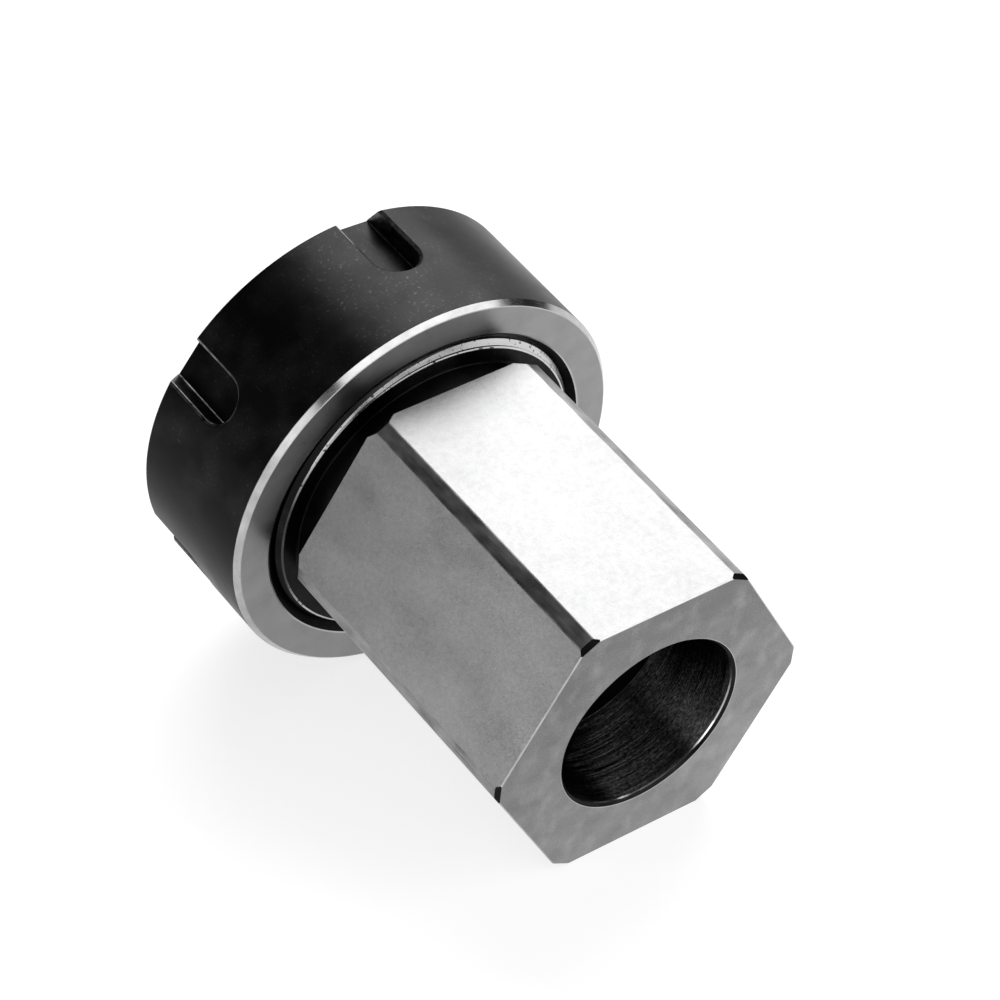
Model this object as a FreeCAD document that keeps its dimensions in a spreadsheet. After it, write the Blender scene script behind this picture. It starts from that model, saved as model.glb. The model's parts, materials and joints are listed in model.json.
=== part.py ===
import FreeCAD, Part
import math
import os
import Sketcher

# Hex collet block: a hexagonal holding block with a collet socket in its threaded nose,
# and the slotted clamping nut that screws on it.
#
# Each piece is modelled straight, along its own +X axis. The block starts at its plain
# hexagonal end face, the nut at the face that looks at the hexagon. Both are then laid
# down the way the real one comes to rest: on the lower edge of the hexagonal end face
# and on the rear rim of the nut, with one flat of the hexagon on top.

doc = FreeCAD.newDocument("hex_collet_block")

# Driving dimensions, in millimetres and degrees. Lengths run along the piece's axis.
SIZES = [
    ("across_flats", 44.0, "hexagon, flat to flat"),
    ("hex_length", 48.4, "hexagonal part of the block"),
    ("corner_diameter", 49.6, "corners of the hexagon, turned round"),
    ("end_lead_depth", 0.45, "flat lead on each corner at the plain end, off the radius"),
    ("end_lead_length", 0.8, "the same, along the axis"),
    ("neck_lead_depth", 0.77, "flat lead on each corner at the neck end, off the radius"),
    ("neck_lead_length", 1.1, "the same, along the axis"),
    ("neck_diameter", 43.4, "relief neck between hexagon and thread"),
    ("neck_length", 3.8, "relief neck, straight part"),
    ("thread_mean_diameter", 49.0, "mean diameter of the M50 x 1.5 thread"),
    ("thread_clearance", 0.05, "play between nose and nut, on the radius"),
    ("nose_length", 13.8, "nose with its thread, from the neck to the nose face"),
    ("shoulder_chamfer", 0.5, "45 degree chamfer of the nose where the neck ends"),
    ("nose_chamfer", 1.0, "45 degree lead on the nose"),
    ("bore_diameter", 28.0, "through bore"),
    ("bore_chamfer", 0.5, "45 degree lead of the bore at the plain end"),
    ("socket_mouth_diameter", 41.0, "collet taper at the nose face"),
    ("socket_small_diameter", 31.0, "collet taper at its inner end"),
    ("socket_taper", 8.0, "collet taper, degrees to the axis"),
    ("socket_relief_length", 15.6, "straight relief between the taper and the bore"),
    ("nut_gap", 4.1, "from the hexagon to the nut, as screwed on"),
    ("nut_diameter", 63.0, "outside of the nut"),
    ("nut_length", 25.5, "overall length of the nut"),
    ("rear_chamfer_depth", 0.7, "chamfer of the nut's rear rim, off the radius"),
    ("rear_chamfer_length", 0.85, "the same, along the axis"),
    ("front_bevel_depth", 3.3, "bevel of the nut's front rim, off the radius"),
    ("front_bevel_length", 2.3, "the same, along the axis"),
    ("mouth_diameter", 52.3, "entry of the nut's thread at the rear face"),
    ("mouth_length", 1.1, "entry chamfer, along the axis"),
    ("thread_end", 14.0, "end of the nut's thread, from its rear face"),
    ("groove_diameter", 51.4, "run-out groove past the nut's thread"),
    ("groove_length", 2.6, "run-out groove"),
    ("web_mouth_diameter", 45.0, "recess in the nut's front web, behind the lip"),
    ("web_lead", 1.2, "45 degree lead at the bottom of that recess"),
    ("pocket_diameter", 41.8, "room for the collar of the collet"),
    ("pocket_length", 0.9, "the same, between lip and clamping cone"),
    ("lip_diameter", 38.9, "hole in the eccentric lip that draws the collet"),
    ("lip_offset", 0.9, "shift of that hole off the nut's axis"),
    ("lip_length", 1.8, "thickness of the lip"),
    ("cone_angle", 30.0, "clamping cone, degrees to the axis"),
    ("cone_front_diameter", 36.4, "small end of the clamping cone"),
    ("front_lead", 0.6, "45 degree lead of the front opening"),
    ("slot_count", 6, "spanner slots around the nut"),
    ("slot_width", 7.0, "spanner slot, wall to wall"),
    ("slot_floor_radius", 27.8, "floor of a slot, from the nut's axis"),
    ("slot_start", 10.9, "round end of a slot, from the nut's rear face"),
    ("nut_turn", 3.85, "turn of a slot off the top, degrees, as screwed on"),
]

sheet = doc.addObject("Spreadsheet::Sheet", "sizes")
for row, (alias, number, meaning) in enumerate(SIZES, start=1):
    sheet.set("A%d" % row, meaning)
    sheet.set("B%d" % row, str(number))
    sheet.setAlias("B%d" % row, alias)
doc.recompute()

# Lengths that several features share, worked out from the sheet.
NOSE_FACE = "(sizes.hex_length + sizes.neck_length + sizes.nose_length)"
NECK_END = "(sizes.hex_length + sizes.neck_length)"
NOSE_RADIUS = "(sizes.thread_mean_diameter / 2 - sizes.thread_clearance / 2)"
NECK_RADIUS = "sizes.neck_diameter / 2"
TAPER_LENGTH = (
    "((sizes.socket_mouth_diameter - sizes.socket_small_diameter) / 2"
    " / tan(sizes.socket_taper * 1 deg))"
)
CONE_LENGTH = (
    "((sizes.socket_mouth_diameter - sizes.cone_front_diameter) / 2"
    " / tan(sizes.cone_angle * 1 deg))"
)
NUT_BORE_RADIUS = "(sizes.thread_mean_diameter / 2 + sizes.thread_clearance / 2)"
CONE_FRONT = "(sizes.nut_length - sizes.front_lead)"
CONE_BACK = "(%s - %s)" % (CONE_FRONT, CONE_LENGTH)
LIP_FRONT = "(%s - sizes.pocket_length)" % CONE_BACK
LIP_BACK = "(%s - sizes.lip_length)" % LIP_FRONT
GROOVE_END = "(sizes.thread_end + sizes.groove_length)"


def origin_feature(body, role):
    """One of the body's own origin planes or axes, by its role."""
    for feature in body.Origin.OriginFeatures:
        if feature.Role == role:
            return feature
    raise ValueError("no origin feature " + role)


def new_body(label):
    body = doc.addObject("PartDesign::Body", label)
    body.Label = label
    return body


def new_sketch(body, name, plane):
    sketch = body.newObject("Sketcher::SketchObject", name)
    sketch.AttachmentSupport = (origin_feature(body, plane), [""])
    sketch.MapMode = "FlatFace"
    return sketch


def constrain(sketch, expression, *constraint):
    """Adds one constraint. Where an expression is given, it drives the value."""
    index = sketch.addConstraint(Sketcher.Constraint(*constraint))
    if expression:
        sketch.setExpression("Constraints[%d]" % index, expression)


def draw_section(sketch, corners):
    """A closed outline of straight lines. Each corner is a pair of expressions: the way
    along the axis, and the radius. Neighbours that share one are tied by a level or
    upright line, and every other coordinate is a dimension from the origin."""
    count = len(corners)
    for i in range(count):
        here = 2 * math.pi * i / count
        there = 2 * math.pi * (i + 1) / count
        start = FreeCAD.Vector(30 + 20 * math.cos(here), 30 + 20 * math.sin(here), 0)
        end = FreeCAD.Vector(30 + 20 * math.cos(there), 30 + 20 * math.sin(there), 0)
        sketch.addGeometry(Part.LineSegment(start, end), False)
    for i in range(count):
        constrain(sketch, None, "Coincident", i, 2, (i + 1) % count, 1)
    for i, (along, radius) in enumerate(corners):
        along_before, radius_before = corners[i - 1]
        line_before = (i - 1) % count
        if along == along_before:
            constrain(sketch, None, "Vertical", line_before)
        elif along == "0":
            constrain(sketch, None, "PointOnObject", i, 1, -2)
        else:
            constrain(sketch, along, "DistanceX", -1, 1, i, 1, 1.0)
        if radius == radius_before:
            constrain(sketch, None, "Horizontal", line_before)
        elif radius == "0":
            constrain(sketch, None, "PointOnObject", i, 1, -1)
        else:
            constrain(sketch, radius, "DistanceY", -1, 1, i, 1, 1.0)


def turn(body, kind, name, corners):
    """A section turned about the piece's axis: added by a Revolution, cut by a Groove."""
    sketch = new_sketch(body, name + "_section", "XZ_Plane")
    draw_section(sketch, corners)
    feature = body.newObject("PartDesign::" + kind, name)
    feature.Profile = sketch
    feature.ReferenceAxis = (sketch, ["H_Axis"])
    feature.Angle = 360
    return feature


def lead_corners(body, name, end, inner, depth):
    """A flat lead on the corner that points along Y, cut as a wedge from the end of the
    hexagon to the place where the lead runs out, and repeated on all six corners."""
    corner = "sizes.corner_diameter / 2"
    sketch = new_sketch(body, name + "_wedge", "XY_Plane")
    draw_section(sketch, [
        (end, corner + " - " + depth),
        (inner, corner),
        (inner, "sizes.across_flats"),
        (end, "sizes.across_flats"),
    ])
    wedge = body.newObject("PartDesign::Pocket", name)
    wedge.Profile = sketch
    wedge.Type = "ThroughAll"
    wedge.Midplane = True
    repeat_round(body, name + "s", wedge, "6")


def repeat_round(body, name, feature, count):
    """The same feature, repeated evenly around the piece's axis."""
    pattern = body.newObject("PartDesign::PolarPattern", name)
    pattern.Originals = [feature]
    pattern.Axis = (origin_feature(body, "X_Axis"), [""])
    pattern.Angle = 360
    pattern.setExpression("Occurrences", count)
    body.Tip = pattern


def make_hex_block():
    body = new_body("hex_block")

    # the hexagonal bar, one flat up
    outline = new_sketch(body, "hexagon", "YZ_Plane")
    side_angles = [math.radians(60 * i) for i in range(7)]
    corners = [FreeCAD.Vector(25 * math.cos(a), 25 * math.sin(a), 0) for a in side_angles]
    for start, end in zip(corners, corners[1:]):
        outline.addGeometry(Part.LineSegment(start, end), False)
    circle = Part.Circle(FreeCAD.Vector(0, 0, 0), FreeCAD.Vector(0, 0, 1), 25)
    outline.addGeometry(circle, True)
    for side in range(6):
        constrain(outline, None, "Coincident", side, 2, (side + 1) % 6, 1)
        constrain(outline, None, "PointOnObject", side, 1, 6)
    for side in range(5):
        constrain(outline, None, "Equal", side, side + 1)
    constrain(outline, None, "Coincident", 6, 3, -1, 1)
    constrain(outline, None, "Horizontal", 1)
    constrain(outline, "sizes.across_flats / 2", "DistanceY", -1, 1, 1, 1, 22.0)
    bar = body.newObject("PartDesign::Pad", "hex_bar")
    bar.Profile = outline
    bar.setExpression("Length", "sizes.hex_length")

    # the corners turned round, with a flat lead at each end
    turn(body, "Groove", "turned_corners", [
        ("0", "sizes.corner_diameter / 2"),
        ("sizes.hex_length", "sizes.corner_diameter / 2"),
        ("sizes.hex_length", "sizes.across_flats"),
        ("0", "sizes.across_flats"),
    ])
    lead_corners(body, "end_lead", "0", "sizes.end_lead_length", "sizes.end_lead_depth")
    lead_stop = "sizes.hex_length - sizes.neck_lead_length"
    lead_corners(body, "neck_lead", "sizes.hex_length", lead_stop, "sizes.neck_lead_depth")

    # neck and nose, the thread as a plain cylinder at its mean diameter
    turn(body, "Revolution", "nose", [
        ("sizes.hex_length", "0"),
        ("sizes.hex_length", NECK_RADIUS),
        (NECK_END, NECK_RADIUS),
        (NECK_END, NOSE_RADIUS + " - sizes.shoulder_chamfer"),
        (NECK_END + " + sizes.shoulder_chamfer", NOSE_RADIUS),
        (NOSE_FACE + " - sizes.nose_chamfer", NOSE_RADIUS),
        (NOSE_FACE, NOSE_RADIUS + " - sizes.nose_chamfer"),
        (NOSE_FACE, "0"),
    ])

    # through bore, relief and the taper that takes the collet
    bore = "sizes.bore_diameter / 2"
    taper_end = "%s - %s" % (NOSE_FACE, TAPER_LENGTH)
    relief_end = taper_end + " - sizes.socket_relief_length"
    small = "sizes.socket_small_diameter / 2"
    turn(body, "Groove", "bore_and_socket", [
        ("0", "0"),
        ("0", bore + " + sizes.bore_chamfer"),
        ("sizes.bore_chamfer", bore),
        (relief_end, bore),
        (relief_end, small),
        (taper_end, small),
        (NOSE_FACE, "sizes.socket_mouth_diameter / 2"),
        (NOSE_FACE, "0"),
    ])
    return body


def make_clamping_nut():
    body = new_body("clamping_nut")

    # the whole nut as turned, its front web still with a plain hole as small as the lip's
    outside = "sizes.nut_diameter / 2"
    lip_least = "(sizes.lip_diameter / 2 - sizes.lip_offset)"
    web_mouth = "sizes.web_mouth_diameter / 2"
    turn(body, "Revolution", "turned_nut", [
        ("0", "sizes.mouth_diameter / 2"),
        ("0", outside + " - sizes.rear_chamfer_depth"),
        ("sizes.rear_chamfer_length", outside),
        ("sizes.nut_length - sizes.front_bevel_length", outside),
        ("sizes.nut_length", outside + " - sizes.front_bevel_depth"),
        ("sizes.nut_length", "sizes.cone_front_diameter / 2 + sizes.front_lead"),
        (CONE_FRONT, "sizes.cone_front_diameter / 2"),
        (CONE_BACK, "sizes.socket_mouth_diameter / 2"),
        (CONE_BACK, "sizes.pocket_diameter / 2"),
        (LIP_FRONT, "sizes.pocket_diameter / 2"),
        (LIP_FRONT, lip_least),
        (LIP_BACK, lip_least),
        (LIP_BACK, web_mouth + " - sizes.web_lead"),
        (LIP_BACK + " - sizes.web_lead", web_mouth),
        (GROOVE_END, web_mouth),
        (GROOVE_END, "sizes.groove_diameter / 2"),
        ("sizes.thread_end", "sizes.groove_diameter / 2"),
        ("sizes.thread_end", NUT_BORE_RADIUS),
        ("sizes.mouth_length", NUT_BORE_RADIUS),
    ])

    # the eccentric hole of the lip
    hole = new_sketch(body, "lip_circle", "YZ_Plane")
    hole.setExpression("AttachmentOffset.Base.z", LIP_FRONT)
    circle = Part.Circle(FreeCAD.Vector(0, 1, 0), FreeCAD.Vector(0, 0, 1), 19)
    hole.addGeometry(circle, False)
    constrain(hole, "sizes.lip_diameter / 2", "Radius", 0, 19.0)
    constrain(hole, None, "PointOnObject", 0, 3, -2)
    constrain(hole, "sizes.lip_offset", "DistanceY", -1, 1, 0, 3, 1.0)
    lip = body.newObject("PartDesign::Pocket", "eccentric_lip")
    lip.Profile = hole
    lip.setExpression("Length", "sizes.lip_length")

    # spanner slots: milled from the front, straight walls, a round end and a flat floor
    outline = new_sketch(body, "slot_outline", "XY_Plane")
    outline.setExpression("AttachmentOffset.Base.z", "sizes.slot_floor_radius")
    left = FreeCAD.Vector(14, 4, 0)
    right = FreeCAD.Vector(14, -4, 0)
    left_front = FreeCAD.Vector(26, 4, 0)
    right_front = FreeCAD.Vector(26, -4, 0)
    outline.addGeometry(Part.Arc(left, FreeCAD.Vector(10, 0, 0), right), False)
    outline.addGeometry(Part.LineSegment(right, right_front), False)
    outline.addGeometry(Part.LineSegment(right_front, left_front), False)
    outline.addGeometry(Part.LineSegment(left_front, left), False)
    constrain(outline, None, "Tangent", 0, 2, 1, 1)
    constrain(outline, None, "Coincident", 1, 2, 2, 1)
    constrain(outline, None, "Coincident", 2, 2, 3, 1)
    constrain(outline, None, "Tangent", 3, 2, 0, 1)
    constrain(outline, None, "Horizontal", 1)
    constrain(outline, None, "Vertical", 2)
    constrain(outline, None, "PointOnObject", 0, 3, -1)
    constrain(outline, "sizes.slot_width / 2", "Radius", 0, 4.0)
    middle = "sizes.slot_start + sizes.slot_width / 2"
    constrain(outline, middle, "DistanceX", -1, 1, 0, 3, 14.0)
    constrain(outline, "sizes.nut_length", "DistanceX", -1, 1, 2, 1, 26.0)
    slot = body.newObject("PartDesign::Pocket", "slot")
    slot.Profile = outline
    slot.Type = "ThroughAll"
    slot.Reversed = True
    repeat_round(body, "slots", slot, "sizes.slot_count")
    return body


def lay_down(block, nut):
    """Places both pieces as the real one lies, with the middle of its footprint at the
    origin. It touches the ground with the lower edge of the hexagonal end face and with
    the rear rim of the nut."""
    half_hex = sheet.across_flats / 2
    nut_start = sheet.hex_length + sheet.nut_gap
    rim = nut_start + sheet.rear_chamfer_length
    lie = math.atan2(sheet.nut_diameter / 2 - half_hex, rim)
    front = nut_start + sheet.nut_length
    front_radius = sheet.nut_diameter / 2 - sheet.front_bevel_depth
    reach_back = front * math.cos(lie) + front_radius * math.sin(lie)
    reach_front = half_hex * math.sin(lie)
    base = FreeCAD.Vector((reach_back - reach_front) / 2, 0, half_hex * math.cos(lie))

    face_away = FreeCAD.Rotation(FreeCAD.Vector(0, 0, 1), 180)
    tilt = FreeCAD.Rotation(FreeCAD.Vector(0, 1, 0), math.degrees(lie))
    along = tilt.multiply(face_away)
    screwed = FreeCAD.Rotation(FreeCAD.Vector(1, 0, 0), sheet.nut_turn)
    block.Placement = FreeCAD.Placement(base, along)
    shift = along.multVec(FreeCAD.Vector(nut_start, 0, 0))
    nut.Placement = FreeCAD.Placement(base + shift, along.multiply(screwed))


def check(bodies):
    """Stops if anything in the document failed, or a piece isn't one sound solid."""
    for item in doc.Objects:
        if "Invalid" in item.State or "Error" in item.State:
            raise RuntimeError("%s failed: %s" % (item.Name, item.State))
    for body in bodies:
        if body.Shape.isNull() or not body.Shape.isValid():
            raise RuntimeError(body.Label + " has no sound shape")
        if len(body.Shape.Solids) != 1:
            raise RuntimeError(body.Label + " isn't one solid")


pieces = [make_hex_block(), make_clamping_nut()]
doc.recompute()
lay_down(*pieces)
doc.recompute()
check(pieces)

os.makedirs("parts", exist_ok=True)
for piece in pieces:
    piece.Shape.exportStep("parts/%s.step" % piece.Label)
    box = piece.Shape.BoundBox
    print(piece.Label, "volume %.0f mm3," % piece.Shape.Volume,
          "x %.2f to %.2f," % (box.XMin, box.XMax),
          "y %.2f to %.2f," % (box.YMin, box.YMax),
          "z %.2f to %.2f" % (box.ZMin, box.ZMax))
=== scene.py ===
# %% [markdown]
# # A hex collet block, made in Blender
# A hex collet block holds round work in a vice and lets it be turned by exact sixths. It has
# two real pieces: a hexagonal steel block, bored through and threaded at its nose, and a
# black slotted nut that screws on the nose and presses a collet into it. The block lies on
# its side here, propped up by the wider nut. Each piece is modelled as it would be made:
# turned on a lathe, milled, threaded, and then given its finish.

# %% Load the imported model
import json
import math

import bmesh
import bpy
from mathutils import Matrix, Vector


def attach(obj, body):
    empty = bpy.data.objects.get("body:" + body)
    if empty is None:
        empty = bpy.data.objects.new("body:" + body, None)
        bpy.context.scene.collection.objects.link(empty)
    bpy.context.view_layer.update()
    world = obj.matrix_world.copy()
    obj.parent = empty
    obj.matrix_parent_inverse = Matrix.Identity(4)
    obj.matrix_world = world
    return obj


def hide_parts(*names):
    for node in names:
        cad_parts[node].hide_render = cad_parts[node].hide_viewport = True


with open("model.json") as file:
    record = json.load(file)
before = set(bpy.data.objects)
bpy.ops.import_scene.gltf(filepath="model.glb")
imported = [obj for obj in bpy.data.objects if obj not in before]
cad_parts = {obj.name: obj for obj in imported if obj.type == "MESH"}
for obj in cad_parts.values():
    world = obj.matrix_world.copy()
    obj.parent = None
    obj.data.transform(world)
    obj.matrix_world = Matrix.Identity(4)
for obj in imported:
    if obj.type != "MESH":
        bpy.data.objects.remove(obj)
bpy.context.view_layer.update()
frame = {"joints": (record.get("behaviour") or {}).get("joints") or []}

# %% [markdown]
# ## A bench to work on
# Both pieces are round about one axis, and that axis lies tilted in the finished picture.
# Modelling on a tilted axis is tiresome, so each piece is made standing upright with its axis
# along Z, in millimetres, and is laid down when it is finished. On the bench, Z = 0 is the
# plain end face of the hexagon, and +Y is the flat that ends up on top.

# %% Sizes of the block and the nut, in millimetres
# START, END, FACE and LENGTH are places along the axis, and most of the others are distances
# from it. The nut's turn is in degrees.
FLAT = 22.0
HEX_LENGTH = 48.4
CORNER = 24.8
NECK = 21.7
NECK_END = 52.2
NOSE_FACE = 66.0
BORE = 14.0
BORE_CHAMFER = 0.5
RELIEF = 15.5
RELIEF_START = 14.82
SOCKET_START = 30.42
SOCKET_MOUTH = 20.5
NUT_START = 52.5
NUT_LENGTH = 25.5
NUT_OUTSIDE = 31.5
NUT_TURN = 3.85
PITCH = 1.5
print("from the end face to the front of the nut:", NUT_START + NUT_LENGTH, "mm")

# %% Find the part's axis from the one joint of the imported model
# The joint stands halfway along the nut and points away from the hexagon.
joint = frame["joints"][0]
JOINT_ALONG = NUT_START + NUT_LENGTH / 2
TO_NUT = Vector(joint["axis"]).normalized()
UP_FLAT = Vector((TO_NUT.z, 0, -TO_NUT.x))
SIDEWAYS = UP_FLAT.cross(TO_NUT)
END_FACE = Vector(joint["pos_m"]) - TO_NUT * JOINT_ALONG / 1000

lying = Matrix((SIDEWAYS, UP_FLAT, TO_NUT)).transposed()
bench_to_ground = Matrix.Translation(END_FACE) @ lying.to_4x4() @ Matrix.Scale(0.001, 4)
print("centre of the end face:", [round(value, 5) for value in END_FACE])

# %% Name the finishes, as empty materials for now
FINISHES = [
    "ground_steel", "end_steel", "turned_steel", "black_oxide", "bare_edge", "rubbed_edge",
    "worn_thread", "faced_steel", "bored_steel",
]
materials = [bpy.data.materials.new(name) for name in FINISHES]
GROUND, END, TURNED, BLACK, BARE, RUBBED, WORN, FACED, BORED = range(len(FINISHES))
print("finishes to make:", len(materials))


# %% [markdown]
# ## Turning, the way a lathe does it
# A turned piece is one ring that travels around its own section. Spin would do it too, but a
# circle that is extruded and resized at each corner of the section keeps every ring exact.
# Each corner also names the finish of the surface that follows it, so the black and the bright
# metal meet exactly at an edge.

# %% Helpers for starting and closing a mesh
def clear_selection():
    if bpy.context.mode != "OBJECT":
        bpy.ops.object.mode_set(mode="OBJECT")
    bpy.ops.object.select_all(action="DESELECT")


def start_editing(name):
    """Names the primitive that was just added, and opens it with all of it selected."""
    bpy.ops.object.transform_apply(location=True, rotation=True, scale=True)
    piece = bpy.context.object
    piece.name = name
    piece.data.name = name
    for material in materials:
        piece.data.materials.append(material)
    bpy.ops.object.mode_set(mode="EDIT")
    bpy.ops.mesh.select_all(action="SELECT")
    return piece


def close_up():
    """Merges the last ring with the first, and points all faces outwards."""
    bpy.ops.mesh.select_all(action="SELECT")
    bpy.ops.mesh.remove_doubles(threshold=0.0005)
    bpy.ops.mesh.normals_make_consistent(inside=False)
    bpy.ops.object.mode_set(mode="OBJECT")


# %% Carry a ring around a closed section
RING_STEPS = 360


def carry_ring(corners):
    """Extrudes the selected ring from each (along, radius) corner to the next one."""
    for (along, radius), (next_along, next_radius) in zip(corners, corners[1:] + corners[:1]):
        move = {"value": (0, 0, next_along - along)}
        bpy.ops.mesh.extrude_region_move(TRANSFORM_OT_translate=move)
        ratio = next_radius / radius
        middle = (0, 0, next_along)
        bpy.ops.transform.resize(value=(ratio, ratio, 1), center_override=middle)


def turned(name, section):
    """A ring of metal turned to a section of (along, radius, finish) corners."""
    clear_selection()
    along, radius, _ = section[0]
    bpy.ops.mesh.primitive_circle_add(
        vertices=RING_STEPS, radius=radius, location=(0, 0, along)
    )
    piece = start_editing(name)
    carry_ring([corner[:2] for corner in section])
    close_up()
    spread_finishes(piece, section)
    return piece


def spread_finishes(piece, section):
    """Each face takes the finish of the side of the section that its middle lies on."""
    sides = list(zip(section, section[1:] + section[:1]))
    found = {}
    for face in piece.data.polygons:
        middle = (face.center.z, math.hypot(face.center.x, face.center.y))
        key = (round(middle[0], 3), round(middle[1], 3))
        if key not in found:
            found[key] = min(sides, key=lambda side: way_off(Vector(middle), *side))[0][2]
        face.material_index = found[key]


def way_off(point, start, end):
    """How far a point of the section lies from one side of it."""
    start = Vector(start[:2])
    end = Vector(end[:2])
    share = (point - start).dot(end - start) / (end - start).length_squared
    return (point - start.lerp(end, max(0, min(1, share)))).length


# %% [markdown]
# Real turned corners are never knife-sharp: a file or a tumbler takes a tenth of a millimetre
# off, and that tiny facet catches the light as a thin bright line. It goes in before turning,
# as a narrow side at each corner of the section. A corner of the section may end with a finish
# for its own facet and a width for it.

# %% Break the corners of a section
def eased(section, facet=BARE, width=0.08):
    result = []
    for i, (along, radius, finish, *own) in enumerate(section):
        facet_finish, reach = own or (facet, width)
        here = Vector((along, radius))
        before = Vector(section[i - 1][:2])
        after = Vector(section[(i + 1) % len(section)][:2])
        back = here.lerp(before, min(reach / (before - here).length, 0.3))
        on = here.lerp(after, min(reach / (after - here).length, 0.3))
        result.append((back.x, back.y, facet_finish))
        result.append((on.x, on.y, finish))
    return result


# %% [markdown]
# ## The block, first as a turned blank
# The real block starts as a bar in a lathe: its corners are turned to a round of 49.6 mm, and
# the neck, the nose and the bore follow in the same setting. The nose stays plain here, at the
# full size of its thread, and the thread is cut later with a tool of its own. The step from
# the neck up to the nose is rounded at both ends, and worn where the nut comes on.

# %% Turn the blank
CREST = 24.9
SHOULDER = 24.2
STEP_ROUND = 0.35
FINE = 0.04
NOSE_CHAMFER = 1.425
block_section = [
    (0, BORE + BORE_CHAMFER, END, BARE, 0.05),
    (0, CORNER, TURNED),
    (HEX_LENGTH, CORNER, BLACK),
    (HEX_LENGTH, NECK, BLACK),
    (NECK_END - 0.25, NECK, BLACK, BLACK, FINE),
    (NECK_END - 0.11, NECK + STEP_ROUND, BLACK, BLACK, FINE),
    (NECK_END + 0.09, SHOULDER - STEP_ROUND, WORN, BLACK, FINE),
    (NECK_END + 0.27, SHOULDER, BLACK, BLACK, FINE),
    (NECK_END + 0.3 + CREST - SHOULDER, CREST, BLACK),
    (NOSE_FACE - NOSE_CHAMFER, CREST, BLACK),
    (NOSE_FACE, CREST - NOSE_CHAMFER, GROUND),
    (NOSE_FACE, SOCKET_MOUTH, FACED),
    (SOCKET_START, RELIEF, BLACK),
    (RELIEF_START, RELIEF, BLACK),
    (RELIEF_START, BORE, BORED),
    (BORE_CHAMFER, BORE, BLACK, BARE, 0.13),
]
block = turned("hex_block_piece", eased(block_section, RUBBED, 0.06))
print("turned blank:", len(block.data.polygons), "faces")


# %% [markdown]
# ## Milling the flats
# The flats are milled along the whole hexagon. One cutter does it at once: a thick tube with a
# hexagonal hole, which is a six-sided circle carried around a section of its own. The hole
# narrows towards the end face, which breaks the edges there. A second tube with a twelve-sided
# hole takes a hair off the twelve long edges, and a third, turned by half a side, cuts the
# small black leads on the corners. Sides that slope can have their own finish.

# %% Make a cutter shaped like a tube
TUBE_WALL = 12


def tube_cutter(name, sides, turn, hole, finish, sloped):
    """A tube whose hole is a regular polygon. hole lists (along, distance of a side)."""
    clear_selection()
    to_corner = 1 / math.cos(math.pi / sides)
    outside = FLAT + TUBE_WALL
    section = hole + [(hole[-1][0], outside), (hole[0][0], outside)]
    corners = [(along, distance * to_corner) for along, distance in section]
    along, radius = corners[0]
    bpy.ops.mesh.primitive_circle_add(
        vertices=sides, radius=radius, location=(0, 0, along), rotation=(0, 0, turn)
    )
    tool = start_editing(name)
    carry_ring(corners)
    close_up()
    for face in tool.data.polygons:
        face.material_index = sloped if abs(face.normal.z) > 0.3 else finish
    return tool


def cut(piece, tool):
    """Takes the tool's shape out of a piece. The new faces keep the finish of the tool."""
    clear_selection()
    modifier = piece.modifiers.new("cut", "BOOLEAN")
    modifier.operation = "DIFFERENCE"
    modifier.solver = "EXACT"
    modifier.object = tool
    bpy.context.view_layer.objects.active = piece
    bpy.ops.object.modifier_apply(modifier=modifier.name)
    bpy.data.objects.remove(tool)


# %% Mill the six flats, then ease the long edges
EDGE = 0.16
TOOL_START = -1.0
PAST_END = 0.15
flat_mill = tube_cutter("flat_mill", 6, math.radians(30), [
    (TOOL_START, FLAT - EDGE + TOOL_START),
    (EDGE, FLAT),
    (HEX_LENGTH - EDGE + PAST_END, FLAT),
    (HEX_LENGTH + PAST_END, FLAT - EDGE),
], GROUND, BARE)
cut(block, flat_mill)

LONG_EDGE = 24.19
edge_stone = tube_cutter("edge_stone", 12, 0, [
    (TOOL_START, LONG_EDGE),
    (HEX_LENGTH + PAST_END, LONG_EDGE),
], TURNED, TURNED)
cut(block, edge_stone)
print("milled block:", len(block.data.polygons), "faces")

# %% Cut the leads on the corners
# Each lead has a depth at its end of the hexagon, and a slope from there.
END_LEAD = (0.45, 0.5625)
NOSE_LEAD = (0.77, 0.7)


def on_lead(lead, inwards):
    """How far the side of the tool is from the axis, some way inwards from the end."""
    depth, slope = lead
    return CORNER - depth + slope * inwards


lead_mill = tube_cutter("lead_mill", 6, 0, [
    (TOOL_START, on_lead(END_LEAD, TOOL_START)),
    (1.0, on_lead(END_LEAD, 1.0)),
    (HEX_LENGTH - 1.3, on_lead(NOSE_LEAD, 1.3)),
    (HEX_LENGTH + PAST_END, on_lead(NOSE_LEAD, -PAST_END)),
], BLACK, BLACK)
cut(block, lead_mill)
print("block with its leads:", len(block.data.polygons), "faces")


# %% [markdown]
# ## Cutting the threads
# A lathe cuts a thread with a pointed tool that moves one pitch along for every turn. The
# Screw modifier does the same with the outline of the tool's point and sweeps it along a
# helix. The swept groove is closed at both ends and taken out of the metal, so the thread runs
# out at the neck and in the chamfers as a real one does. The pitch is 1.5 mm and the flanks
# meet at 60 degrees, on the nose and in the nut alike. Each time the nut goes on, it rubs over
# the flanks that face the hexagon, so those are bare.

# %% Sweep the tool's point along a helix
FLANK = math.tan(math.radians(30))
THREAD_TURNS = 11
PAST_CREST = 0.12


def tool_point(tip, back, mean):
    """The four (radius, along) corners of a V that is half a pitch wide at the mean radius."""
    wider = 1 if back > tip else -1
    at_tip = PITCH / 4 + wider * (tip - mean) * FLANK
    at_back = PITCH / 4 + wider * (back - mean) * FLANK
    return [(tip, -at_tip), (back, -at_back), (back, at_back), (tip, at_tip)]


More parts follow.
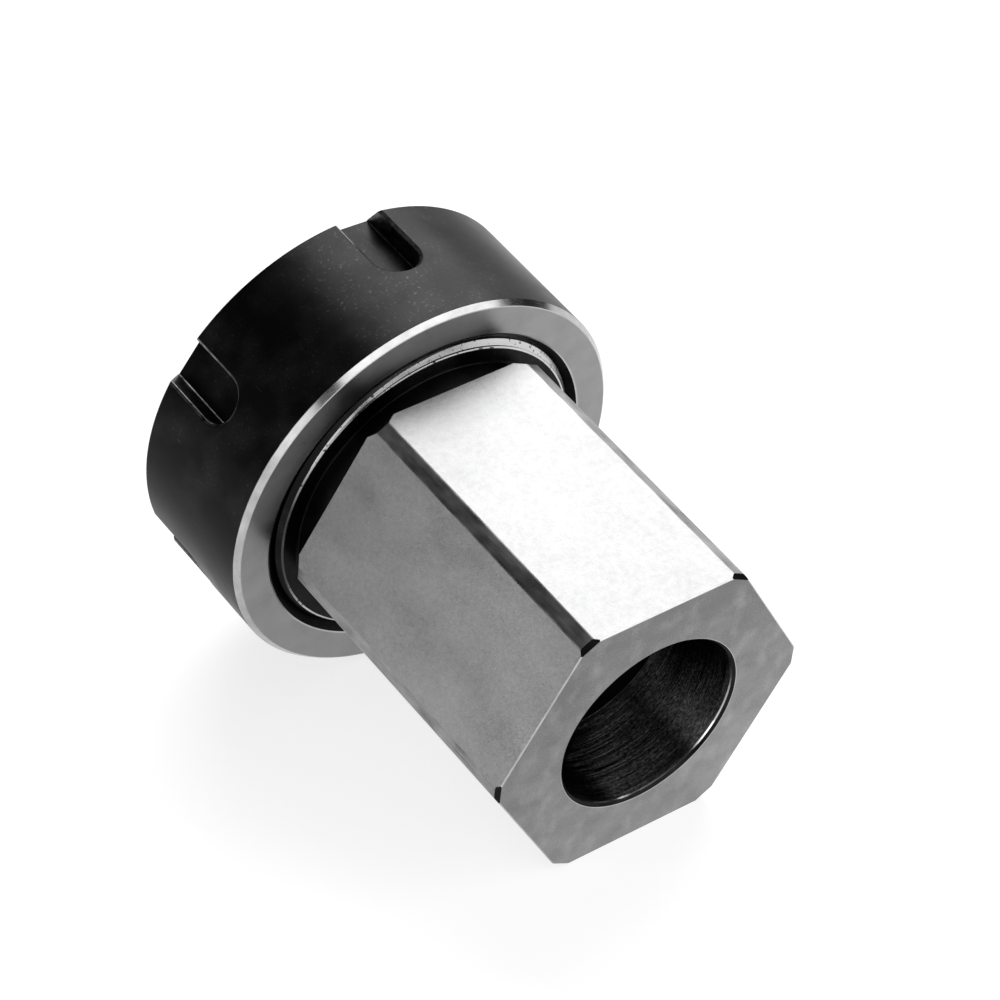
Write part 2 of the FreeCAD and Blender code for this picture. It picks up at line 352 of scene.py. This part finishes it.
def thread_cutter(name, point, start):
    clear_selection()
    bpy.ops.mesh.primitive_circle_add(vertices=4, radius=1)
    tool = start_editing(name)
    bpy.ops.object.mode_set(mode="OBJECT")
    for vertex, (radius, along) in zip(tool.data.vertices, point):
        vertex.co = (radius, 0, start + along)
    screw = tool.modifiers.new("screw", "SCREW")
    screw.axis = "Z"
    screw.screw_offset = PITCH
    screw.iterations = THREAD_TURNS
    screw.steps = 120
    screw.render_steps = 120
    bpy.ops.object.modifier_apply(modifier=screw.name)
    bpy.ops.object.mode_set(mode="EDIT")
    bpy.ops.mesh.select_all(action="SELECT")
    bpy.ops.mesh.fill_holes(sides=4)
    close_up()
    for face in tool.data.polygons:
        face.material_index = WORN if face.normal.z > 0.4 else BLACK
    return tool


# %% Cut the thread of the nose
NOSE_ROOT = 24.07
NOSE_MEAN = 24.475
NOSE_THREAD_START = NECK_END - 1.58
nose_point = tool_point(NOSE_ROOT, CREST + PAST_CREST, NOSE_MEAN)
cut(block, thread_cutter("nose_thread_tool", nose_point, NOSE_THREAD_START))
print("threaded block:", len(block.data.polygons), "faces")

# %% [markdown]
# ## The nut, turned in one piece
# The nut is turned from a bar too. Its rear face, which looks at the hexagon, and the chamfer
# around it are left bright, and the rest is blackened. Inside follow the thread, a groove where
# the threading tool runs out, a recess, a thin lip that pulls the collet out, and the cone
# that presses it in.

# %% Sizes of the nut's section, along it from its rear face
NUT_MOUTH = 26.15
NUT_CREST = 24.19
MOUTH_LENGTH = 1.33
GROOVE = 25.7
GROOVE_START = 14.0
RECESS = 22.5
RECESS_START = 16.6
RECESS_CORNER = 1.2
LIP = 18.55
LIP_START = 18.216
LIP_END = 20.016
POCKET = 20.9
CONE_START = 20.916
FRONT_HOLE = 18.2
FRONT_LEAD = 0.6
print("length of the nut's thread:", GROOVE_START - MOUTH_LENGTH, "mm")

# %% Turn the nut
nut_section = [
    (0, NUT_MOUTH, FACED, BARE, 0.12),
    (0, NUT_OUTSIDE - 0.7, BARE, BARE, 0.08),
    (0.85, NUT_OUTSIDE, BLACK, RUBBED, FINE),
    (NUT_LENGTH - 2.3, NUT_OUTSIDE, BLACK),
    (NUT_LENGTH, NUT_OUTSIDE - 3.3, BLACK),
    (NUT_LENGTH, FRONT_HOLE + FRONT_LEAD, BLACK),
    (NUT_LENGTH - FRONT_LEAD, FRONT_HOLE, FACED),
    (CONE_START, SOCKET_MOUTH, BLACK),
    (CONE_START, POCKET, BLACK),
    (LIP_END, POCKET, BLACK),
    (LIP_END, LIP, BLACK),
    (LIP_START, LIP, BLACK),
    (LIP_START, RECESS - RECESS_CORNER, BLACK),
    (LIP_START - RECESS_CORNER, RECESS, BLACK),
    (RECESS_START, RECESS, BLACK),
    (RECESS_START, GROOVE, BLACK),
    (GROOVE_START, GROOVE, BLACK),
    (GROOVE_START, NUT_CREST, BLACK),
    (MOUTH_LENGTH, NUT_CREST, BLACK),
]
nut = turned("clamping_nut_piece", eased(nut_section, RUBBED))
print("turned nut:", len(nut.data.polygons), "faces")

# %% Open the lip with a round cutter that sits off the axis
LIP_HOLE = 19.45
LIP_OFFSET = 0.9
clear_selection()
bpy.ops.mesh.primitive_cylinder_add(
    vertices=240, radius=LIP_HOLE, depth=LIP_END - LIP_START + 0.6,
    location=(0, LIP_OFFSET, (LIP_START + LIP_END) / 2)
)
lip_tool = start_editing("lip_tool")
bpy.ops.object.mode_set(mode="OBJECT")
for face in lip_tool.data.polygons:
    face.material_index = BLACK
cut(nut, lip_tool)
print("nut with its lip open:", len(nut.data.polygons), "faces")

# %% [markdown]
# The groove of the nut is where the ridge of the nose is: half a pitch on from the groove of
# the nose. The nut is rolled when it is laid down, which shifts its helix a little as well.

# %% Cut the thread of the nut
NUT_ROOT = 25.05
NUT_MEAN = 24.525
ROLL_SHIFT = PITCH * NUT_TURN / 360
NUT_THREAD_START = NOSE_THREAD_START + PITCH / 2 - NUT_START + ROLL_SHIFT
nut_point = tool_point(NUT_ROOT, NUT_CREST - PAST_CREST, NUT_MEAN)
cut(nut, thread_cutter("nut_thread_tool", nut_point, NUT_THREAD_START))
print("threaded nut:", len(nut.data.polygons), "faces")

# %% [markdown]
# ## Six spanner slots
# Each slot is milled by a round cutter that plunges beside the rim and runs out of the front:
# straight walls, a round end and a flat floor. The tool here is a disc whose front half is
# pulled out past the nut. It is extruded upwards in steps: a small fillet at the foot of the
# wall, the wall itself, and a flare that follows the round of the nut and leaves the eased
# upper edge. New sides take the finish of the face they are pulled from, so the worn lines are
# set on the way. The same tool is made for each slot, and turned to its place.

# %% Model the slot's cutter
SLOT_HALF = 3.5
SLOT_MIDDLE = 14.4
SLOT_FLOOR = 27.8
RUN_OUT = 14.0
FOOT = 0.12
FLARE = 0.42


def slot_corner(corner, spread, height, drop):
    """Where a corner of the disc goes: spread is the way off the slot's outline. With no
    height given it lies on the round of the nut, lowered by drop."""
    ahead = RUN_OUT if corner.z > SLOT_MIDDLE + RUN_OUT / 2 else 0
    turn = math.atan2(corner.x, corner.z - ahead - SLOT_MIDDLE)
    x = (SLOT_HALF + spread) * math.sin(turn)
    z = SLOT_MIDDLE + ahead + (SLOT_HALF + spread) * math.cos(turn)
    if height is None:
        height = math.sqrt(NUT_OUTSIDE**2 - x * x) - drop
    return (x, height, z)


# spread, height, drop, and the finish of the side that rises from there
SLOT_RINGS = [
    (-FOOT, SLOT_FLOOR, 0, RUBBED),
    (0, SLOT_FLOOR + FOOT, 0, BLACK),
    (0, None, FLARE, RUBBED),
    (0.07, None, FLARE - 0.12, BLACK),
    (FLARE, None, 0.03, RUBBED),
    (FLARE + 0.06, None, 0, BLACK),
    (FLARE + 0.4, None, -1.0, BLACK),
]


def slot_cutter(name):
    clear_selection()
    bpy.ops.mesh.primitive_circle_add(
        vertices=56, radius=SLOT_HALF, fill_type="NGON",
        location=(0, SLOT_FLOOR, SLOT_MIDDLE), rotation=(math.pi / 2, 0, 0)
    )
    tool = start_editing(name)
    for level, (spread, height, drop, finish) in enumerate(SLOT_RINGS):
        if level:
            bpy.ops.mesh.extrude_region_move(TRANSFORM_OT_translate={"value": (0, 1, 0)})
        mesh = bmesh.from_edit_mesh(tool.data)
        for vertex in mesh.verts:
            if not level and vertex.co.z > SLOT_MIDDLE + 0.01:
                vertex.co.z += RUN_OUT
            if vertex.select:
                vertex.co = slot_corner(vertex.co, spread, height, drop)
        for face in mesh.faces:
            if face.select:
                face.material_index = finish
        bmesh.update_edit_mesh(tool.data)
    close_up()
    for face in tool.data.polygons:
        if face.normal.y < -0.9:
            face.material_index = BLACK
    return tool


# %% Mill the six slots
SLOTS = 6
for number in range(SLOTS):
    slot_tool = slot_cutter("slot_tool")
    slot_tool.data.transform(Matrix.Rotation(math.tau * number / SLOTS, 4, "Z"))
    cut(nut, slot_tool)
print("slotted nut:", len(nut.data.polygons), "faces")


# %% [markdown]
# ## Laying the pieces down
# Now both pieces leave the bench: the nut is shifted along and rolled to where it came to rest
# on the thread, and both are turned onto the ground. Their place goes into their meshes, so
# the objects stay at the origin. Faces that meet at a small angle are shaded as one curve. The
# limit is low, so that the front face of the nut doesn't borrow the slope of its lead.

# %% Put both pieces on the ground
SMOOTH_BELOW = math.radians(12)


def lay_down(piece, along, roll):
    on_axis = Matrix.Translation((0, 0, along)) @ Matrix.Rotation(math.radians(roll), 4, "Z")
    piece.data.transform(bench_to_ground @ on_axis)
    clear_selection()
    piece.select_set(True)
    bpy.context.view_layer.objects.active = piece
    bpy.ops.object.shade_smooth_by_angle(angle=SMOOTH_BELOW)
    clear_selection()


lay_down(block, 0, 0)
lay_down(nut, NUT_START, NUT_TURN)

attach(block, "block")
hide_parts("hex_block")
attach(nut, "nut")
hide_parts("clamping_nut")
print("laid down:", block.name, "and", nut.name)


# %% [markdown]
# ## Writing finishes as plain sums
# A material is a small sum over the surface: so much grain, so much wear. Blender writes
# such sums as nodes. This class wraps one output of a node, so that Python's own + and * add
# the Math nodes, and a finish reads as the sum it is.

# %% A wrapper for the outputs of nodes
class Value:
    def __init__(self, recipe, socket):
        self.recipe = recipe
        self.socket = socket

    def maths(self, operation, *values):
        inputs = dict(enumerate(values))
        return self.recipe.add("ShaderNodeMath", {"operation": operation}, inputs)

    def __add__(self, other):
        return self.maths("ADD", self, other)

    def __sub__(self, other):
        return self.maths("SUBTRACT", self, other)

    def __mul__(self, other):
        return self.maths("MULTIPLY", self, other)

    def between(self, low, high):
        """0 below low, 1 above high, and an even rise from one to the other."""
        ends = {0: self, 1: low, 2: high}
        return self.recipe.add("ShaderNodeMapRange", {"clamp": True}, ends)


class Recipe:
    """The nodes of one material, around one Principled shader."""

    def __init__(self, material):
        material.use_nodes = True
        self.tree = material.node_tree
        self.tree.nodes.clear()
        self.shader = self.tree.nodes.new("ShaderNodeBsdfPrincipled")
        output = self.tree.nodes.new("ShaderNodeOutputMaterial")
        self.tree.links.new(self.shader.outputs[0], output.inputs["Surface"])

    def add(self, kind, settings=None, inputs=None, output=0):
        """Adds a node: its settings first, then the values or links of its inputs."""
        node = self.tree.nodes.new(kind)
        for name, setting in (settings or {}).items():
            setattr(node, name, setting)
        for name, value in (inputs or {}).items():
            self.feed(node.inputs[name], value)
        return Value(self, node.outputs[output])

    def feed(self, socket, value):
        if isinstance(value, Value):
            self.tree.links.new(value.socket, socket)
        else:
            socket.default_value = value

    def set(self, **inputs):
        for name, value in inputs.items():
            self.feed(self.shader.inputs[name.replace("_", " ")], value)


print("ready to write:", FINISHES)

# %% [markdown]
# ## Where a finish lies on the part
# Grinding, turning and wear follow the part, not the tilted ground. A Mapping node takes the
# Object coordinates back to the bench: millimetres, with the axis along Z. The grain of a
# finish is noise in those coordinates, with its own size along each of them. Noise that is
# long in X and Y and short in Z leaves streaks around the axis, as a turning tool does.

# %% Helpers for place, grain, colour and relief
def on_the_bench(recipe):
    ground = recipe.add("ShaderNodeTexCoord", output="Object")
    turn_back = lying.transposed()
    return recipe.add("ShaderNodeMapping", {"vector_type": "POINT"}, {
        "Vector": ground,
        "Location": turn_back @ END_FACE * -1000,
        "Rotation": turn_back.to_euler(),
        "Scale": (1000, 1000, 1000),
    })


def grain(recipe, place, size, detail=2.0):
    """Noise from 0 to 1 around 0.5, with features of a size in millimetres along X, Y, Z."""
    fine = recipe.add("ShaderNodeVectorMath", {"operation": "DIVIDE"}, {0: place, 1: size})
    return recipe.add("ShaderNodeTexNoise", None, {"Vector": fine, "Scale": 1.0, "Detail": detail})


def grey(level):
    return (level, level, level * 1.01, 1)


def shade(recipe, amount, dark, light):
    """A grey between two levels."""
    ends = {0: amount, 6: grey(dark), 7: grey(light)}
    return recipe.add("ShaderNodeMix", {"data_type": "RGBA"}, ends, output=2)


def relief(recipe, height, depth):
    """A surface normal from a height of 0 to 1, with a depth in millimetres."""
    return recipe.add("ShaderNodeBump", None, {"Height": height, "Distance": depth / 1000})


def along_x(recipe, place):
    return recipe.add("ShaderNodeSeparateXYZ", None, {"Vector": place}, output=0)


def along_y(recipe, place):
    return recipe.add("ShaderNodeSeparateXYZ", None, {"Vector": place}, output=1)


def off_axis(recipe, place):
    """The distance from the axis, in millimetres."""
    flat = recipe.add("ShaderNodeVectorMath", {"operation": "MULTIPLY"}, {0: place, 1: (1, 1, 0)})
    return recipe.add("ShaderNodeVectorMath", {"operation": "LENGTH"}, {0: flat}, output=1)


# %% [markdown]
# ## Ground steel
# The flats are ground: a satin grey with a fine salt-and-pepper fleck a quarter of a
# millimetre across, and faint clouds over it. The plain end face has pale smears of handling,
# and painted shade makes it a little darker towards its upper edge. The narrow corners between the
# flats
# still have the skin of the turned bar: smoother, stained in patches, and marked lengthwise.

# %% Make the ground steel
steel = Recipe(materials[GROUND])
place = on_the_bench(steel)
fleck = grain(steel, place, (0.24, 0.24, 0.24), 3.0).between(0.28, 0.72)
blots = grain(steel, place, (0.7, 0.7, 0.7), 4.0).between(0.3, 0.7)
cloud = grain(steel, place, (5, 5, 9), 4.0)
steel.set(
    Base_Color=shade(steel, fleck * 0.4 + blots * 0.25 + cloud * 0.7 - 0.15, 0.2, 0.36),
    Metallic=1.0,
    Roughness=cloud * 0.1 + fleck * 0.1 + 0.31,
    Normal=relief(steel, fleck, 0.008),
)
print("ground steel:", len(steel.tree.nodes), "nodes")

# %% Make the steel of the end face
end = Recipe(materials[END])
place = on_the_bench(end)
fleck = grain(end, place, (0.24, 0.24, 0.24), 3.0).between(0.28, 0.72)
cloud = grain(end, place, (6, 4, 4), 4.0).between(0.3, 0.7)
smears = grain(end, place, (3, 5, 2), 5.0).between(0.5, 0.8)
# Painted shade: the end face is made darker towards its upper edge.
painted_shade_up = along_y(end, place).between(-22.0, 22.0)
end.set(
    Base_Color=shade(end, fleck * 0.4 + cloud * 0.4 + smears * 0.5 - painted_shade_up * 0.5 + 0.15, 0.15, 0.34),
    Metallic=1.0,
    Roughness=cloud * 0.08 + 0.3,
)
print("end face:", len(end.tree.nodes), "nodes")

# %% Make the turned steel
skin = Recipe(materials[TURNED])
place = on_the_bench(skin)
patches = grain(skin, place, (1.6, 1.6, 4), 4.0).between(0.3, 0.7)
lines = grain(skin, place, (0.2, 0.2, 12), 1.0).between(0.35, 0.7)
marks = grain(skin, place, (0.3, 0.3, 3), 2.0).between(0.68, 0.76)
skin.set(
    Base_Color=shade(skin, patches * 0.6 + lines * 0.2 + marks * 0.4, 0.12, 0.38),
    Metallic=1.0,
    Roughness=patches * 0.1 + 0.26,
)
print("turned steel:", len(skin.tree.nodes), "nodes")

# %% [markdown]
# ## Black oxide
# The blackened steel is dark and satin. Handling leaves a thin grey film in patches, and light
# nicks and scratches where the oxide is gone. A little dust has settled on what faces up.

# %% Make the black oxide
oxide = Recipe(materials[BLACK])
place = on_the_bench(oxide)
film = grain(oxide, place, (6, 6, 6), 4.0).between(0.42, 0.72)
dust = grain(oxide, place, (0.4, 0.4, 0.4), 3.0).between(0.6, 0.85)
nicks = grain(oxide, place, (0.35, 0.35, 0.35), 1.0).between(0.81, 0.84)
scratches = grain(oxide, place, (0.16, 5, 3), 1.0).between(0.76, 0.82)
settled = along_y(oxide, place).between(12.0, 32.0)
wear = film * (dust * 0.5 + 0.08) + settled * (dust * 0.2 + 0.07) + nicks * 0.4 + scratches * 0.25
oxide.set(
    Base_Color=shade(oxide, wear, 0.009, 0.12),
    Metallic=1.0,
    Roughness=film * 0.08 + 0.3,
    Specular_Tint=(0.66, 0.66, 0.66, 1),
)
print("black oxide:", len(oxide.tree.nodes), "nodes")

# %% [markdown]
# ## Bare and rubbed edges
# A freshly turned chamfer has no oxide and shines. The other edges of the black steel are only
# rubbed by spanner and hand, so the oxide has become thin there. The flanks of the thread are
# bare from use, with dark stains, and painted shade darkens them on one side.

# %% Make the bare edges
bare = Recipe(materials[BARE])
place = on_the_bench(bare)
tarnish = grain(bare, place, (2, 2, 1), 3.0).between(0.25, 0.75)
bare.set(
    Base_Color=shade(bare, tarnish, 0.35, 0.48),
    Metallic=1.0,
    Roughness=tarnish * 0.06 + 0.13,
)
print("bare edges:", len(bare.tree.nodes), "nodes")

# %% Make the worn flanks of the thread
worn = Recipe(materials[WORN])
place = on_the_bench(worn)
streak = grain(worn, place, (5, 5, 0.2), 2.0)
stain = grain(worn, place, (0.7, 0.7, 0.5), 3.0).between(0.6, 0.68)
# Painted shade: the flanks are made darker on one side of the axis.
painted_side_shade = along_x(worn, place).between(19.5, 23.0)
worn.set(
    Base_Color=shade(worn, streak * 0.5 - stain - painted_side_shade + 0.7, 0.06, 0.55),
    Metallic=1.0,
    Roughness=streak * 0.15 + 0.18,
)
print("worn flanks:", len(worn.tree.nodes), "nodes")

# %% Make the rubbed edges
rubbed = Recipe(materials[RUBBED])
place = on_the_bench(rubbed)
thin = grain(rubbed, place, (1.2, 1.2, 1.2), 3.0).between(0.3, 0.7)
rubbed.set(
    Base_Color=shade(rubbed, thin, 0.01, 0.13),
    Metallic=1.0,
    Roughness=0.3,
)
print("rubbed edges:", len(rubbed.tree.nodes), "nodes")

# %% [markdown]
# ## Faced steel
# The rear face of the nut was faced in the lathe. Its fine grooves run in circles, and they
# spread every reflection along the radius. A bump that depends only on the distance from the
# axis does that. The two tapers that hold a collet are finished the same way, bright and
# without oxide.

# %% Make the faced steel
RINGS_PER_MM = 9.0
faced = Recipe(materials[FACED])
place = on_the_bench(faced)
fine_rings = faced.add("ShaderNodeTexNoise", {"noise_dimensions": "1D"}, {
    "W": off_axis(faced, place) * RINGS_PER_MM, "Scale": 1.0, "Detail": 2.0,
})
spots = grain(faced, place, (0.5, 0.5, 0.5), 2.0).between(0.7, 0.8)
cloud = grain(faced, place, (4, 4, 4), 3.0)
faced.set(
    Base_Color=shade(faced, cloud * 0.6 + fine_rings * 0.2 - spots * 0.5 + 0.15, 0.16, 0.34),
    Metallic=1.0,
    Roughness=cloud * 0.1 + 0.24,
    Normal=relief(faced, fine_rings, 0.012),
)
print("faced steel:", len(faced.tree.nodes), "nodes")

# %% [markdown]
# ## Bored steel
# Inside, the bore is dark and shows the marks of the boring bar: very fine ridges around the
# axis. They spread what the wall mirrors along the bore, so it shows as long bright and dark
# bands.

# %% Make the bored steel
bored = Recipe(materials[BORED])
place = on_the_bench(bored)
marks = grain(bored, place, (0.5, 0.5, 0.25), 3.0).between(0.35, 0.75)
ridges = grain(bored, place, (12, 12, 0.03), 0.0)
bored.set(
    Base_Color=shade(bored, marks * 0.9, 0.02, 0.18),
    Metallic=1.0,
    Roughness=0.18,
    Normal=relief(bored, ridges, 0.032),
)
print("bored steel:", len(bored.tree.nodes), "nodes")

# %% [markdown]
# ## The studio
# The part lies on a plain white floor that is softly lit from below, like a light table, so the
# faces that look down mirror white and the shadow stays faint. Steel shows what it mirrors, so
# the soft panels are placed where the bright faces look: a large one and a low one behind the
# part for its upper side, a wide one to the right, two to the left and a weak one overhead.
# Between them there is only a faint glow from all around, which leaves the deep black on the
# nut.

# %% The floor
clear_selection()
bpy.ops.mesh.primitive_circle_add(vertices=96, radius=3.0, fill_type="NGON")
floor = bpy.context.object
floor.name = "floor"
paper = bpy.data.materials.new("paper")
Recipe(paper).set(
    Base_Color=(0.32, 0.32, 0.32, 1),
    Roughness=0.9,
    Emission_Color=(1, 1, 1, 1),
    Emission_Strength=0.74,
)
floor.data.materials.append(paper)
print("floor:", round(floor.dimensions.x, 1), "m across")

# %% Soft panels
PART_MIDDLE = Vector((0, 0, 0.03))


def panel(name, azimuth, elevation, width, height, brightness, distance=1.2):
    """A rectangular softbox that looks at the part, with its angles in degrees and its size in
    metres. Brightness is what a mirror would show."""
    lamp = bpy.data.lights.new(name, "AREA")
    lamp.shape = "RECTANGLE"
    lamp.size = width
    lamp.size_y = height
    lamp.energy = brightness * math.pi * width * height
    stand = bpy.data.objects.new(name, lamp)
    bpy.context.scene.collection.objects.link(stand)
    azimuth = math.radians(azimuth)
    elevation = math.radians(elevation)
    level = math.cos(elevation)
    direction = Vector((level * math.cos(azimuth), level * math.sin(azimuth), math.sin(elevation)))
    stand.location = direction * distance + PART_MIDDLE
    stand.rotation_euler = direction.to_track_quat("Z", "Y").to_euler()
    stand.visible_camera = False


# azimuth, elevation, width, height, brightness
panel("key_panel", 133, 44, 1.15, 1.05, 4.8)
panel("back_panel", 126, 9, 1.0, 0.36, 1.3)
panel("right_panel", 22, 31, 1.9, 0.95, 2.2)
panel("near_left_panel", -50, 15, 0.55, 0.6, 1.7)
panel("left_panel", -88, 20, 0.85, 0.8, 3.7)
panel("top_panel", 0, 90, 1.3, 1.3, 0.3, 1.4)
print("soft panels:", len(bpy.data.lights))

# %% A faint glow from all around
AROUND = 0.04
world = bpy.data.worlds.new("studio")
bpy.context.scene.world = world
world.use_nodes = True
background = world.node_tree.nodes["Background"]
background.inputs["Color"].default_value = (1, 1, 1, 1)
background.inputs["Strength"].default_value = AROUND
print("glow from all around:", AROUND)

# %% [markdown]
# ## The camera
# The picture is taken from above and to the side with a long lens, as a catalogue picture is:
# from half a metre away, parallel edges stay almost parallel. The place of the camera and the
# directions of its right and upper side were found by laying the edges of the part over those
# in the photograph.

# %% The camera, at the photograph's viewing angle
CAMERA_PLACE = (0.3835, -0.2624, 0.3766)
FOCAL_LENGTH = 151.2
SENSOR_WIDTH = 36
camera_data = bpy.data.cameras.new("camera")
camera = bpy.data.objects.new("camera", camera_data)
bpy.context.scene.collection.objects.link(camera)
camera_data.sensor_width = SENSOR_WIDTH
camera_data.lens = FOCAL_LENGTH
right = Vector((0.5823, 0.8127, -0.0205))
up = Vector((-0.4712, 0.3580, 0.8060))
back = right.cross(up).normalized()
up = back.cross(right).normalized()
right.normalize()
camera_turn = Matrix((right, up, back)).transposed().to_4x4()
camera.matrix_world = Matrix.Translation(CAMERA_PLACE) @ camera_turn
bpy.context.scene.camera = camera
bpy.context.scene.view_settings.view_transform = "Standard"
print("camera to the middle of the part:", (Vector(CAMERA_PLACE) - PART_MIDDLE).length)
